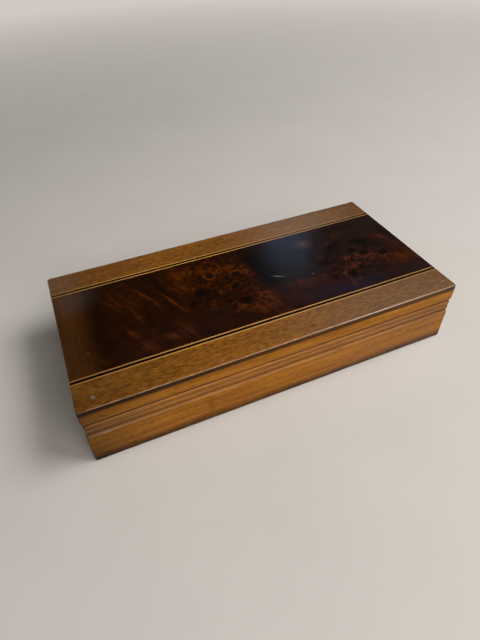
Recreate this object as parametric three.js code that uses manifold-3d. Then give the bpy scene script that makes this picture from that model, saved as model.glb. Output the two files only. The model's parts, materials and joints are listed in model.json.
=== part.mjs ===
// Low wooden table box with a veneered and strung lid on two brass butt hinges.
// Millimetres. X runs along the length, Y from the front to the back, Z up.
// The origin is the middle of the underside, so the closed box stands on Z = 0.
import * as THREE from 'three';
import { mergeVertices } from 'three/addons/utils/BufferGeometryUtils.js';
import Module from 'manifold-3d';

const wasm = await Module();
wasm.setup();

// Driving sizes of the whole box
const boxLength = 220;
const boxDepth = 109;
const boxHeight = 41;
const lidHeight = 11.4;
const lidGap = 0.2;
const cornerRadius = 1.5;
const leastRadius = 0.3;
const boardThickness = 6;
const baseThickness = 3;

// Fits: glued faces, sliding faces, and how far a cutter runs past what it cuts
const glueLine = 0.05;
const guideFit = 0.3;
const overrun = 1;

// Lid: veneers on a thin dark board on four rails
const veneerThickness = 0.6;
const topBoardThickness = 2.5;
const arrisRadius = 0.9;
const lipDepth = 1.4;
const lipHeight = 2.8;
const bandWidth = 17.2;
const lineWidth = 1.13;
const lidLiningThickness = 1;

// Moulding round the body, each size measured in from the body's outer face or upwards
const bottomArris = 1.1;
const shoulderDepth = 0.9;
const shoulderHeight = 1.7;
const quirkHeight = 0.4;
const quirkDepth = 1.6;
const beadHeight = 3.55;
const beadSetback = 0.35;
const beadGroove = 0.5;
const beadTopRound = 1.1;

// Cedar lining of the body
const liningThickness = 2;
const floorLiningThickness = 1.5;
const guideRound = 0.5;

// Brass hinges
const hingeLength = 25;
const hingeInset = 42;
const axisStandOut = 0.9;
const knuckleRadius = 1.7;
const knuckleGap = 0.12;
const pinRadius = 0.75;
const pinFit = 0.08;
const leafThickness = 0.9;
const leafRim = 0.4;
const leafMargin = 1.4;
const hingeFit = 0.2;
const screwFit = 0.08;

// Proportions that suit any size
const lapShare = 1 / 2;
const baseRebateShare = 1 / 2;
const guideShare = 0.35;
const screwLengthShare = 0.7;
const shankShare = 0.55;
const slotWidthShare = 0.3;
const slotDepthShare = 0.35;
const screwPlaceShare = 0.28;
const pinChamferShare = 0.25;

// Counts of pieces and of the flats that round forms are cut in
const linesPerString = 3;
const knuckleCount = 5;
const screwsPerLeaf = 2;
const cornerSteps = 4;
const arcSteps = 5;
const beadSteps = 8;
const roundSteps = 24;

// Sizes that follow from the above
const bodyHeight = boxHeight - lidHeight - lidGap;
const railHeight = lidHeight - veneerThickness - topBoardThickness - 2 * glueLine;
const lapThickness = boardThickness * lapShare;
const innerLength = boxLength - 2 * boardThickness;
const innerDepth = boxDepth - 2 * boardThickness;
const lidZ = bodyHeight + lidGap;
const axisY = boxDepth / 2 + axisStandOut;
const axisZ = bodyHeight + lidGap / 2;
const leafWidth = boardThickness - leafMargin + axisStandOut;
const screwHeadRadius = (leafWidth - knuckleRadius - hingeFit) / 2 - leafRim;
const screwShankRadius = screwHeadRadius * shankShare;
const screwLength = railHeight * screwLengthShare;
const screwY = -(leafWidth + knuckleRadius + hingeFit) / 2;

// Finishes
function finish(color, roughness, metalness) {
  return new THREE.MeshStandardMaterial({ color, roughness, metalness });
}
const honeyMahogany = finish(0x9a6830, 0.35, 0);
const darkEdge = finish(0x4a2f18, 0.3, 0);
const bandMahogany = finish(0x7f5223, 0.25, 0);
const burrWalnut = finish(0x33190c, 0.18, 0);
const paleString = finish(0xa67a3b, 0.25, 0);
const blackString = finish(0x15120d, 0.25, 0);
const cedar = finish(0x9c5f3c, 0.6, 0);
const baseWood = finish(0x8a5e30, 0.55, 0);
const brass = finish(0xb28f45, 0.35, 1);

// A closed three.js geometry as a solid that can be cut and joined
function toSolid(geometry) {
  const bare = geometry.clone();
  bare.deleteAttribute('normal');
  bare.deleteAttribute('uv');
  const merged = mergeVertices(bare);
  return new wasm.Manifold(new wasm.Mesh({
    numProp: 3,
    vertProperties: new Float32Array(merged.attributes.position.array),
    triVerts: new Uint32Array(merged.index.array),
  }));
}

// A finished solid as a named mesh
function toMesh(name, solid, material) {
  const cut = solid.getMesh();
  const geometry = new THREE.BufferGeometry();
  geometry.setAttribute('position', new THREE.BufferAttribute(cut.vertProperties, 3));
  geometry.setIndex(new THREE.BufferAttribute(cut.triVerts, 1));
  geometry.computeVertexNormals();
  const mesh = new THREE.Mesh(geometry, material);
  mesh.name = name;
  return mesh;
}

// A block given by its low and high ends on each axis
function block([x0, x1], [y0, y1], [z0, z1]) {
  const geometry = new THREE.BoxGeometry(x1 - x0, y1 - y0, z1 - z0);
  geometry.translate((x0 + x1) / 2, (y0 + y1) / 2, (z0 + z1) / 2);
  return toSolid(geometry);
}

function joined(solids) {
  return solids.reduce((whole, solid) => whole.add(solid));
}

// A bar along X, centred on the axis
function roundBar(radius, [x0, x1]) {
  const geometry = new THREE.CylinderGeometry(radius, radius, x1 - x0, roundSteps);
  geometry.rotateZ(Math.PI / 2);
  geometry.translate((x0 + x1) / 2, 0, 0);
  return toSolid(geometry);
}

// A turned form about Z, from a profile of radius and height that starts and ends on the axis
function turned(profile) {
  return new THREE.LatheGeometry(profile.map(([r, z]) => new THREE.Vector2(r, z)), roundSteps)
    .rotateX(Math.PI / 2);
}

// Round-cornered rectangle, anticlockwise from the front right corner
function roundedRing(length, depth, radius) {
  const ring = [];
  const corners = [[1, -1], [1, 1], [-1, 1], [-1, -1]];
  corners.forEach(([sideX, sideY], corner) => {
    for (let step = 0; step <= cornerSteps; step += 1) {
      const angle = (corner - 1 + step / cornerSteps) * Math.PI / 2;
      const x = sideX * (length / 2 - radius) + radius * Math.cos(angle);
      const y = sideY * (depth / 2 - radius) + radius * Math.sin(angle);
      ring.push([x, y]);
    }
  });
  return ring;
}

// A block whose outside follows a moulding profile all round. Each level of the profile is an
// inset from the box's outline and a height, and the levels run upwards.
function mouldedBlock(levels) {
  const positions = [];
  const index = [];
  let count = 0;
  levels.forEach(([inset, height]) => {
    const radius = Math.max(cornerRadius - inset, leastRadius);
    const ring = roundedRing(boxLength - 2 * inset, boxDepth - 2 * inset, radius);
    count = ring.length;
    ring.forEach(([x, y]) => positions.push(x, y, height));
  });
  const top = (levels.length - 1) * count;
  for (let start = 0; start < top; start += count) {
    for (let i = 0; i < count; i += 1) {
      const next = (i + 1) % count;
      index.push(start + i, start + next, start + count + next);
      index.push(start + i, start + count + next, start + count + i);
    }
  }
  for (let i = 1; i < count - 1; i += 1) {
    index.push(0, i + 1, i);
    index.push(top, top + i, top + i + 1);
  }
  const geometry = new THREE.BufferGeometry();
  geometry.setAttribute('position', new THREE.BufferAttribute(new Float32Array(positions), 3));
  geometry.setIndex(index);
  return toSolid(geometry);
}

// Rounded edge that leads from an underside up into a face
function roundUnder(depth, height, bottom, faceInset) {
  return arc(0, Math.PI / 2, arcSteps, (a) => [
    faceInset + depth * (1 - Math.sin(a)),
    bottom + height * (1 - Math.cos(a)),
  ]);
}

// Rounded edge that leads from a face up onto a flat
function roundOver(depth, height, top, faceInset) {
  return arc(0, Math.PI / 2, arcSteps, (a) => [
    faceInset + depth * (1 - Math.cos(a)),
    top - height * (1 - Math.sin(a)),
  ]);
}

function arc(from, to, steps, place) {
  return Array.from({ length: steps + 1 }, (_, i) => place(from + (to - from) * i / steps));
}

// Profile of the lid: rounded lip at the joint, straight face, small arris at the top
function lidProfile() {
  return [
    ...roundUnder(lipDepth, lipHeight, 0, 0),
    ...roundOver(arrisRadius, arrisRadius, lidHeight, 0),
  ];
}

// Profile of the body: eased foot, plain face, sloped shoulder, quirk and two beads.
// The lower bead overhangs the quirk square, and the upper one rolls into the joint.
function bodyProfile() {
  const upperMiddle = bodyHeight - beadHeight / 2;
  const lowerMiddle = upperMiddle - beadHeight;
  const quirkTop = bodyHeight - 2 * beadHeight;
  const shoulderTop = quirkTop - quirkHeight;
  const flank = Math.PI / 3;
  const bead = (middle) => (a) => [
    beadSetback + beadGroove * (1 - Math.cos(a)) / (1 - Math.cos(flank)),
    middle + beadHeight / 2 * Math.sin(a) / Math.sin(flank),
  ];
  return [
    ...roundUnder(bottomArris, bottomArris, 0, 0),
    [0, shoulderTop - shoulderHeight],
    [shoulderDepth, shoulderTop],
    [quirkDepth, shoulderTop],
    [quirkDepth, quirkTop],
    ...arc(-flank, flank, beadSteps, bead(lowerMiddle)),
    ...arc(-flank, 0, beadSteps / 2, bead(upperMiddle)).slice(1),
    ...roundOver(beadTopRound, beadHeight / 2, bodyHeight, beadSetback).slice(1),
  ];
}

// Four boards of a rebated frame cut from one moulded block. The end boards run the full depth,
// and their laps cover the ends of the front and back boards.
function rebatedFrame(whole, height) {
  const x = boxLength / 2;
  const y = boxDepth / 2;
  const allZ = [-overrun, height + overrun];
  const boardX = [-x + lapThickness, x - lapThickness];
  const frontY = [-y - overrun, -y + boardThickness];
  const backY = [y - boardThickness, y + overrun];
  const behindLapY = y - boardThickness - glueLine;
  const end = (side) => {
    const outer = side * (x + overrun);
    const inner = side * (x - boardThickness);
    const behindLap = side * (x - lapThickness + glueLine);
    const pastInner = inner - side * overrun;
    const span = (a, b) => [Math.min(a, b), Math.max(a, b)];
    return whole.intersect(block(span(outer, inner), [-y - overrun, y + overrun], allZ))
      .subtract(block(span(behindLap, pastInner), [-y - 2 * overrun, -behindLapY], allZ))
      .subtract(block(span(behindLap, pastInner), [behindLapY, y + 2 * overrun], allZ));
  };
  return {
    front: whole.intersect(block(boardX, frontY, allZ)),
    back: whole.intersect(block(boardX, backY, allZ)),
    left: end(-1),
    right: end(1),
  };
}

// Wood screw with a flat countersunk head, its top at Z = 0 and its point down.
// Its hole is the same form, grown by the fit.
function screwForm(fit) {
  const head = screwHeadRadius + fit;
  const shank = screwShankRadius + fit;
  const bottom = -screwLength - fit;
  return turned([
    [0, bottom],
    [shank, bottom + shank],
    [shank, shank - head],
    [head, 0],
    [0, 0],
  ]);
}

function screwSolid() {
  const slotWidth = screwHeadRadius * slotWidthShare / 2;
  const slotDepth = screwHeadRadius * slotDepthShare;
  const reach = screwHeadRadius + overrun;
  const slot = block([-reach, reach], [-slotWidth, slotWidth], [-slotDepth, overrun]);
  return toSolid(screwForm(0)).subtract(slot);
}

// Screw places along one hinge leaf
function screwXs() {
  const places = [];
  for (let i = 0; i < screwsPerLeaf; i += 1) {
    const side = 2 * i / (screwsPerLeaf - 1) - 1;
    places.push(side * hingeLength * screwPlaceShare);
  }
  return places;
}

// Holes for the screws of one leaf. Side is -1 for the body and 1 for the lid.
function screwHoles(side) {
  return joined(screwXs().map((x) => {
    const hole = screwForm(screwFit);
    if (side > 0) hole.rotateX(Math.PI);
    hole.translate(x, screwY, side * lidGap / 2);
    return toSolid(hole);
  }));
}

// One leaf, in the hinge's own frame: X on the pin, the wood towards -Y
function hingeLeaf(side) {
  const face = side * lidGap / 2;
  const back = side * (lidGap / 2 + leafThickness);
  const plateZ = [Math.min(face, back), Math.max(face, back)];
  const pitch = hingeLength / knuckleCount;
  const rootY = -(knuckleRadius + hingeFit);
  const pieces = [block([-hingeLength / 2, hingeLength / 2], [-leafWidth, rootY], plateZ)];
  const first = side < 0 ? 0 : 1;
  for (let i = first; i < knuckleCount; i += 2) {
    const start = -hingeLength / 2 + i * pitch;
    const spanX = [start + knuckleGap / 2, start + pitch - knuckleGap / 2];
    pieces.push(roundBar(knuckleRadius, spanX));
    pieces.push(block(spanX, [rootY - leafRim, 0], plateZ));
  }
  const bore = roundBar(pinRadius + pinFit, [-hingeLength, hingeLength]);
  return joined(pieces).subtract(bore).subtract(screwHoles(side));
}

// Hinge pin with small chamfers at both ends
function hingePin() {
  const half = hingeLength / 2;
  const chamfer = pinRadius * pinChamferShare;
  const profile = [
    [0, -half],
    [pinRadius - chamfer, -half],
    [pinRadius, -half + chamfer],
    [pinRadius, half - chamfer],
    [pinRadius - chamfer, half],
    [0, half],
  ];
  return toSolid(turned(profile).rotateY(Math.PI / 2));
}

// Room for one hinge in the wood, in the hinge's own frame
function hingePocket(side) {
  const halfX = hingeLength / 2 + hingeFit;
  const bottom = side * (lidGap / 2 + leafThickness + glueLine);
  const past = -side * overrun;
  const spanZ = [Math.min(bottom, past), Math.max(bottom, past)];
  const seat = block([-halfX, halfX], [-leafWidth - hingeFit, 0], spanZ);
  const channel = roundBar(knuckleRadius + hingeFit, [-halfX, halfX]);
  return joined([seat, channel, screwHoles(side)]);
}

function hingeXs() {
  return [-1, 1].map((side) => side * (boxLength / 2 - hingeInset));
}

// Cuts both hinge pockets in a back board whose frame has its zero at the given height
function cutForHinges(board, side, zero) {
  return hingeXs().reduce(
    (rest, x) => rest.subtract(hingePocket(side).translate([x, axisY, axisZ - zero])),
    board,
  );
}

// Body boards with their rebate for the base
function bodyBoards() {
  const boards = rebatedFrame(mouldedBlock(bodyProfile()), bodyHeight);
  const reach = boardThickness * baseRebateShare + glueLine;
  const rebate = block(
    [-innerLength / 2 - reach, innerLength / 2 + reach],
    [-innerDepth / 2 - reach, innerDepth / 2 + reach],
    [-overrun, baseThickness + glueLine],
  );
  return [
    toMesh('front_board', boards.front.subtract(rebate), honeyMahogany),
    toMesh('back_board', cutForHinges(boards.back.subtract(rebate), -1, 0), honeyMahogany),
    toMesh('left_end_board', boards.left.subtract(rebate), honeyMahogany),
    toMesh('right_end_board', boards.right.subtract(rebate), honeyMahogany),
  ];
}

// Base panel, flush with the foot of the boards
function basePanel() {
  const reach = boardThickness * baseRebateShare;
  return toMesh('base_panel', block(
    [-innerLength / 2 - reach, innerLength / 2 + reach],
    [-innerDepth / 2 - reach, innerDepth / 2 + reach],
    [0, baseThickness],
  ), baseWood);
}

const floorBottom = baseThickness + glueLine;
const floorTop = floorBottom + floorLiningThickness;

function floorLining() {
  return toMesh('floor_lining', block(
    [-innerLength / 2 + glueLine, innerLength / 2 - glueLine],
    [-innerDepth / 2 + glueLine, innerDepth / 2 - glueLine],
    [floorBottom, floorTop],
  ), cedar);
}

// Mitred lining strip. Its outer face is at Y = 0, its inner face towards +Y, its foot at Z = 0.
// Above the joint it stands back by the fit and is rounded, to guide the lid.
function liningStrip(name, length, guide) {
  const foot = floorTop + glueLine;
  const jointZ = bodyHeight - foot;
  const topZ = jointZ + guide;
  const section = new THREE.Shape();
  section.moveTo(0, 0);
  section.lineTo(0, guide > 0 ? jointZ : jointZ - glueLine);
  if (guide > 0) {
    section.lineTo(guideFit, jointZ);
    section.absarc(guideFit + guideRound, topZ - guideRound, guideRound, Math.PI, Math.PI / 2, true);
    section.absarc(liningThickness - guideRound, topZ - guideRound, guideRound, Math.PI / 2, 0, true);
  } else {
    section.lineTo(liningThickness, jointZ - glueLine);
  }
  section.lineTo(liningThickness, 0);
  const bar = new THREE.ExtrudeGeometry(section, {
    depth: length, bevelEnabled: false, curveSegments: arcSteps,
  });
  bar.applyMatrix4(new THREE.Matrix4().makeBasis(
    new THREE.Vector3(0, 1, 0),
    new THREE.Vector3(0, 0, 1),
    new THREE.Vector3(1, 0, 0),
  ));
  bar.translate(-length / 2, 0, 0);
  const half = length / 2 - glueLine;
  const past = liningThickness + overrun;
  const plan = new THREE.Shape([
    new THREE.Vector2(-half - overrun, -overrun),
    new THREE.Vector2(half + overrun, -overrun),
    new THREE.Vector2(half - past, past),
    new THREE.Vector2(-half + past, past),
  ]);
  const mitre = new THREE.ExtrudeGeometry(plan, { depth: topZ + 2 * overrun, bevelEnabled: false });
  mitre.translate(0, 0, -overrun);
  return toMesh(name, toSolid(bar).intersect(toSolid(mitre)), cedar);
}

// Three strips stand up as a guide for the lid. The back one stays low, clear of its back rail.
function bodyLining() {
  const length = innerLength - 2 * glueLine;
  const depth = innerDepth - 2 * glueLine;
  const guide = railHeight * guideShare;
  const places = [
    ['front_lining', length, guide, 0, -depth / 2, 0],
    ['right_lining', depth, guide, length / 2, 0, 1],
    ['back_lining', length, 0, 0, depth / 2, 2],
    ['left_lining', depth, guide, -length / 2, 0, 3],
  ];
  return places.map(([name, size, stand, x, y, quarterTurns]) => {
    const strip = liningStrip(name, size, stand);
    strip.position.set(x, y, floorTop + glueLine);
    strip.rotation.z = quarterTurns * Math.PI / 2;
    return strip;
  });
}

// Lid rails, with the rounded lip at the joint
function lidRails(whole) {
  const low = block(
    [-boxLength, boxLength],
    [-boxDepth, boxDepth],
    [-overrun, railHeight],
  );
  const rails = rebatedFrame(whole.intersect(low), railHeight);
  return [
    toMesh('lid_front_rail', rails.front, honeyMahogany),
    toMesh('lid_back_rail', cutForHinges(rails.back, 1, lidZ), honeyMahogany),
    toMesh('lid_left_rail', rails.left, honeyMahogany),
    toMesh('lid_right_rail', rails.right, honeyMahogany),
  ];
}

// Thin dark board whose edge shows as a band round the lid
function lidTopBoard(whole) {
  const bottom = railHeight + glueLine;
  const layer = block(
    [-boxLength, boxLength],
    [-boxDepth, boxDepth],
    [bottom, bottom + topBoardThickness],
  );
  return toMesh('lid_top_board', whole.intersect(layer), darkEdge);
}

function lidLining() {
  return toMesh('lid_lining', block(
    [-innerLength / 2 + glueLine, innerLength / 2 - glueLine],
    [-innerDepth / 2 + glueLine, innerDepth / 2 - glueLine],
    [railHeight - lidLiningThickness, railHeight],
  ), cedar);
}

// Veneers of the top, front to back: band, string of three lines, burr, string, band
function lidVeneers(whole) {
  const stringWidth = linesPerString * lineWidth;
  const burrWidth = boxDepth - 2 * bandWidth - 2 * stringWidth;
  const lines = (side) => [
    [`${side}_string_outer_line`, lineWidth, paleString],
    [`${side}_string_black_line`, lineWidth, blackString],
    [`${side}_string_inner_line`, lineWidth, paleString],
  ];
  const strips = [
    ['front_band_veneer', bandWidth, bandMahogany],
    ...lines('front'),
    ['burr_veneer', burrWidth, burrWalnut],
    ...lines('back').reverse(),
    ['back_band_veneer', bandWidth, bandMahogany],
  ];
  const bottom = railHeight + topBoardThickness + 2 * glueLine;
  let edge = -boxDepth / 2;
  return strips.map(([name, width, material], i) => {
    const start = i === 0 ? edge - overrun : edge + glueLine / 2;
    edge += width;
    const end = i === strips.length - 1 ? edge + overrun : edge - glueLine / 2;
    const layer = block([-boxLength, boxLength], [start, end], [bottom, lidHeight + overrun]);
    return toMesh(name, whole.intersect(layer), material);
  });
}

// Hinge parts that stay with one side: a leaf and its screws
function hingeSide(sideName, side, hingeName) {
  const group = new THREE.Group();
  group.add(toMesh(`${hingeName}_hinge_${sideName}_leaf`, hingeLeaf(side), brass));
  screwXs().forEach((x, i) => {
    const screw = toMesh(`${hingeName}_hinge_${sideName}_screw_${i + 1}`, screwSolid(), brass);
    screw.position.set(x, screwY, side * lidGap / 2);
    screw.rotation.x = side > 0 ? Math.PI : 0;
    group.add(screw);
  });
  return group;
}

// Body with its lining and its side of both hinges
function bodyGroup() {
  const group = new THREE.Group();
  group.add(...bodyBoards(), basePanel(), floorLining(), ...bodyLining());
  hingeXs().forEach((x, i) => {
    const hingeName = ['left', 'right'][i];
    const hinge = hingeSide('body', -1, hingeName);
    hinge.add(toMesh(`${hingeName}_hinge_pin`, hingePin(), brass));
    hinge.position.set(x, axisY, axisZ);
    group.add(hinge);
  });
  return group;
}

// Lid, in a group whose zero is the underside of its rails
function lidGroup() {
  const whole = mouldedBlock(lidProfile());
  const group = new THREE.Group();
  group.add(...lidRails(whole), lidTopBoard(whole), lidLining(), ...lidVeneers(whole));
  hingeXs().forEach((x, i) => {
    const hinge = hingeSide('lid', 1, ['left', 'right'][i]);
    hinge.position.set(x, axisY, axisZ - lidZ);
    group.add(hinge);
  });
  group.position.z = lidZ;
  return group;
}

const woodenBox = new THREE.Group();
woodenBox.name = 'wooden_box';
woodenBox.add(bodyGroup(), lidGroup());

export default woodenBox;
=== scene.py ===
"""Dresses a wooden table box: polished mahogany, a burr walnut lid with stringing, brass butt hinges."""

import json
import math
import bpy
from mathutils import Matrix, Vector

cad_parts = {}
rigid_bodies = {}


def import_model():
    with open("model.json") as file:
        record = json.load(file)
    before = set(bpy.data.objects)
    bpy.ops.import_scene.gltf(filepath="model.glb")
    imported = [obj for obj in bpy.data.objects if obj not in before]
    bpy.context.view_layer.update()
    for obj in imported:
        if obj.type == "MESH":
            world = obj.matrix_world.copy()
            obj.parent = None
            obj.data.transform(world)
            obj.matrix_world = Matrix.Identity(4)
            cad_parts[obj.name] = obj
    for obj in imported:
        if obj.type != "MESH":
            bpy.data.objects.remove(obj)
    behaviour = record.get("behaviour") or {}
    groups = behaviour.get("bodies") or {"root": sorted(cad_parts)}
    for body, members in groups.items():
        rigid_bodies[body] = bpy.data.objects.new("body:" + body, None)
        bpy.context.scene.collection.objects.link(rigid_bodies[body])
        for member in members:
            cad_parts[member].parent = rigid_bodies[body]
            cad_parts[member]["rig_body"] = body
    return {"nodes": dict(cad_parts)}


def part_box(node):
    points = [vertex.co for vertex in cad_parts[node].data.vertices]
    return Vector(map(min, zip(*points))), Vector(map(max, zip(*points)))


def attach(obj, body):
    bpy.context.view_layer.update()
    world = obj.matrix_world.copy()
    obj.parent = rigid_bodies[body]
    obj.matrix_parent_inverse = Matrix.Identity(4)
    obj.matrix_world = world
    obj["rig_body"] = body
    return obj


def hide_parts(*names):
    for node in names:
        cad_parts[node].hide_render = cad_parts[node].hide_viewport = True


bl_info = {
    "name": "Wooden table box",
    "version": (1, 0, 0),
    "blender": (4, 5, 0),
    "location": "View3D > Sidebar > Wooden Box",
    "description": "Builds the polished pieces and finishes of a wooden box with a veneered lid",
    "category": "Add Mesh",
}

from collections import namedtuple

import bmesh
import bpy
from bpy.props import FloatProperty, FloatVectorProperty, IntProperty, PointerProperty
from mathutils import Matrix, Vector

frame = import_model()

MM = 0.001

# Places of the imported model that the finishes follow
LEFT, RIGHT = (corner[0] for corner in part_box("lid_top_board"))
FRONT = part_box("front_board")[0][1]
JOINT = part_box("front_board")[1][2]
LID_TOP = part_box("burr_veneer")[1][2]

# Points closer than this are merged, and faces that meet flatter than this become one
MERGE_DISTANCE = 0.001 * MM
FLAT_ANGLE = math.radians(0.5)

# Least and most upward lean of a rubbed face, on the beads of the mouldings and on the bands' edges
BEAD_LEAN = (0.12, 0.62)
BAND_EDGE_LEAN = (0.6, 0.97)
# A face whose normal has a Y below this looks forward and shows in the front
FORWARD_LIMIT = -0.7
# Veneers and lines lie flush with each other, so their edges aren't rounded
FLUSH = 0

# Finishes: roughness, specular level, and weight and roughness of the film of polish
Polish = namedtuple("Polish", "rough sheen film film_rough", defaults=(0.16,))
FLAT_POLISH = Polish(0.4, 0.06, 0.04)
RUBBED_POLISH = Polish(0.5, 0.46, 0.3)
BAND_POLISH = Polish(0.48, 0.4, 0.1)
BAND_RUBBED_POLISH = Polish(0.22, 0.42, 0.52)
BURR_POLISH = Polish(0.22, 0.5, 0.2, 0.12)
EDGE_POLISH = Polish(0.4, 0.06, 0.05)
PALE_LINE_POLISH = Polish(0.36, 0.4, 0.1)
BLACK_LINE_POLISH = Polish(0.26, 0.3, 0)
BARE_BASE = Polish(0.6, 0.5, 0)
BARE_CEDAR = Polish(0.62, 0.5, 0)

# Length and width of the marks in each surface
HONEY_STREAK = (26 * MM, 0.9 * MM)
BAND_STREAK = (3.6 * MM, 0.85 * MM)
BASE_GRAIN = (60 * MM, 3 * MM)
CEDAR_GRAIN = (80 * MM, 2.6 * MM)
EDGE_GRAIN = (30 * MM, 0.8 * MM)
LINE_GRAIN = (18 * MM, 0.8 * MM)
PLAIN_END_GRAIN = (30 * MM, 1.6 * MM)
FIBRE = (9 * MM, 0.4 * MM)
FILE_MARK = (5 * MM, 0.12 * MM)

# How much of its light each channel keeps on end grain, and how much of that shows
END_GRAIN_LIGHT_SHARES = (0.52, 0.4, 0.36)
END_GRAIN_SHARE = 0.12

# How far into the pale lines the black line's dye is full and how far it reaches, and its share
DYE_FULL = 0.24 * MM
DYE_REACH = 0.42 * MM
DYE_SHARE = 0.95

# Heights from the joint in millimetres, and how much painted shade and old polish darken the wood there: on
# the body at the foot, in the quirk, between the beads and in the joint, and on the lid at its lip and its
# top
BODY_SHADE_AND_GRIME_SHARES = (
    (-29.4, 1.0), (-27.8, 1.0), (-26.2, 0.8), (-24.4, 0.42), (-22.2, 0.0),
    (-8.0, 0.0), (-7.6, 0.9), (-7.0, 0.9), (-6.7, 0.12),
    (-4.1, 0.1), (-3.55, 0.7), (-3.1, 0.0),
    (-0.6, 0.0), (0.0, 0.85),
)
LID_SHADE_AND_GRIME_SHARES = ((0.2, 0.95), (1.0, 0.8), (1.7, 0.0), (2.6, 0.0), (7.8, 0.0), (8.4, 0.35))

# Painted shade along the box: how much of its light the wood keeps, from its left end to its right end,
# darkest at the left end
SIDE_LIGHT_SHARES = ((0.0, 0.34), (0.07, 0.55), (0.18, 0.85), (0.36, 1.0), (0.7, 1.0), (1.0, 0.88))
EDGE_LIGHT_SHARES = ((0.0, 0.2), (0.2, 0.5), (0.4, 0.8), (1.0, 1.0))
LINE_LIGHT_SHARES = ((0.0, 0.5), (0.14, 0.74), (0.3, 1.0), (0.5, 0.95), (0.7, 0.82), (1.0, 0.54))
BAND_LIGHT_SHARES = ((0.0, 0.52), (0.14, 0.74), (0.32, 1.0), (0.52, 0.9), (0.76, 0.74), (1.0, 0.6))

# How light the burr's ground is before its figure, and the gain on its light after it
BURR_GROUND_SHARE = 0.27
BURR_GAIN = 1.25

# Figure of the burr, in millimetres from the middle of the lid: place, half sizes, turn in
# degrees, and how much it lightens or darkens the wood
BURR_FIGURE = (
    ("dark strip by the plain end", -89, 0, 8, 50, 0, -0.14),
    ("field of leaning streaks", -66, 14, 36, 40, 0, 0.09),
    ("red middle of the streaks", -71, 10, 14, 16, 0, 0.12),
    ("first streak", -77, 16, 20, 2.0, -72, 0.14),
    ("second streak", -59, 11, 21, 1.8, -65, 0.46),
    ("third streak", -45.5, 0.5, 15, 1.3, -63, 0.42),
    ("short streak", -68, -2, 12, 2.2, -72, 0.16),
    ("dark streak", -49, 18, 20, 2.8, -72, -0.3),
    ("second dark streak", -62, -5, 15, 2.2, -84, -0.15),
    ("amber field", -38, 22, 22, 12, -75, 0.36),
    ("low spot", -72, -15.5, 5.5, 4.5, -30, 0.28),
    ("low lobe", -67.5, -28, 9, 3.6, -60, 0.24),
    ("second low lobe", -55, -26.5, 9, 5, -66, 0.3),
    ("low dark spot", -57, -20.5, 6, 3, 0, -0.26),
    ("lobe by the plain end", -92, -27, 9, 2.4, -64, 0.34),
    ("low ground", -45, -24, 52, 20, 0, 0.12),
    ("first burr", -15, 8, 36, 34, 0, 0.17),
    ("upper glow", -16, 23, 26, 13, -10, 0.3),
    ("foot of the first burr", -9, -20, 22, 7, -22, 0.26),
    ("right flank", 6, -21, 21, 10, -74, 0.38),
    ("right shoulder", 3, 9, 15, 7, -80, 0.3),
    ("hollow of the first burr", -27, 1, 10, 8, 0, -0.2),
    ("dark edge of the first burr", 13, 6, 30, 8, -80, -0.34),
    ("black field", 30, 13, 34, 27, 0, -0.34),
    ("lone eye", 49, 21, 8, 6.5, 0, 0.4),
    ("low arc", 53, 5, 14, 3, 62, 0.2),
    ("middle arc", 66, 16, 14, 3, 34, 0.22),
    ("high arc", 84, 21.5, 17, 3.4, -2, 0.24),
    ("falling arc", 100, 8, 16, 5, -68, 0.24),
    ("inner dark arc", 62, 9, 14, 3.4, 45, -0.22),
    ("second burr", 69, -9, 24, 20, 0, 0.16),
    ("knot by the second burr", 68, -4, 6.5, 4.4, -30, 0.55),
    ("lower knot", 66.5, -12.8, 6, 3.4, 20, 0.5),
    ("left knot", 57.5, -15, 6, 3.8, 60, 0.4),
    ("lowest knot", 57, -27, 7, 3.4, 80, 0.24),
    ("sweep to the right", 84, -11, 20, 5, -25, 0.16),
    ("right foot", 101, -17, 19, 14, -20, 0.36),
    ("dark heart of the arcs", 85, 8, 10, 5.5, -20, -0.36),
    ("dark fork", 66, 10.5, 9, 4, 20, -0.26),
    ("dark strip by the back string", 76, 28, 20, 4, 5, -0.16),
    ("dark strip by the right edge", 107.5, 14, 4, 16, 0, -0.2),
    ("russet wisp", 97, 10, 13, 5, -28, 0.24),
    ("second russet wisp", 100, -3, 13, 6.5, -12, 0.24),
    ("dark gap under the arcs", 93, 1, 8, 3, -20, -0.16),
    ("top of the red foot", 30, -13.5, 26, 4, -3, 0.24),
    ("red foot", 36, -20, 34, 14, 0, 0.16),
)
# Where the figure curls round knots, and how steeply that sets in
BURR_CURLS = (
    ("curls of the first burr", -12, 6, 32, 40, 0, 2.4),
    ("curls of the second burr", 72, -9, 36, 28, 0, 2.4),
)
# Where the wood is redder or more amber than its place along the lid makes it
BURR_REDNESS = (
    ("red front of the left half", -45, -26, 60, 20, 0, 0.8),
    ("amber right foot", 100, -16, 18, 14, 0, -0.9),
    ("amber right end", 98, 2, 24, 22, 0, -0.5),
)
# The wood turns from amber to red between these places along the lid
RED_STARTS = 4 * MM
RED_FULL = 34 * MM
RED_SHARE = 0.9
# The figure gives way to plain wood between these places at the left end
PLAIN_END_STARTS = -89 * MM
PLAIN_END_FULL = -105 * MM
PLAIN_END_SHARE = 0.94

# Dark eyes of the burr: place and radius in millimetres
BURR_EYES = (
    (-28, 3, 4.0), (-18.4, 15, 2.6), (-25.7, 27, 2.2), (-8, 0.6, 2.6), (-7, -14.7, 3.4),
    (-15, -11.5, 2.2), (-35.3, -5, 3.0), (-21, -3, 1.6), (-3, 11, 1.8), (-12, 24, 1.6), (-10, 9, 1.5),
    (50.5, -2.7, 4.6), (74.5, 1.3, 3.6), (80, -4.3, 3.4), (69, -7.5, 2.2), (61.7, -18.7, 3.8),
    (69.7, -16.3, 2.4), (49.7, -17.1, 2.4), (92.1, -8.3, 3.6), (84, 3, 3.0),
)
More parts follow.
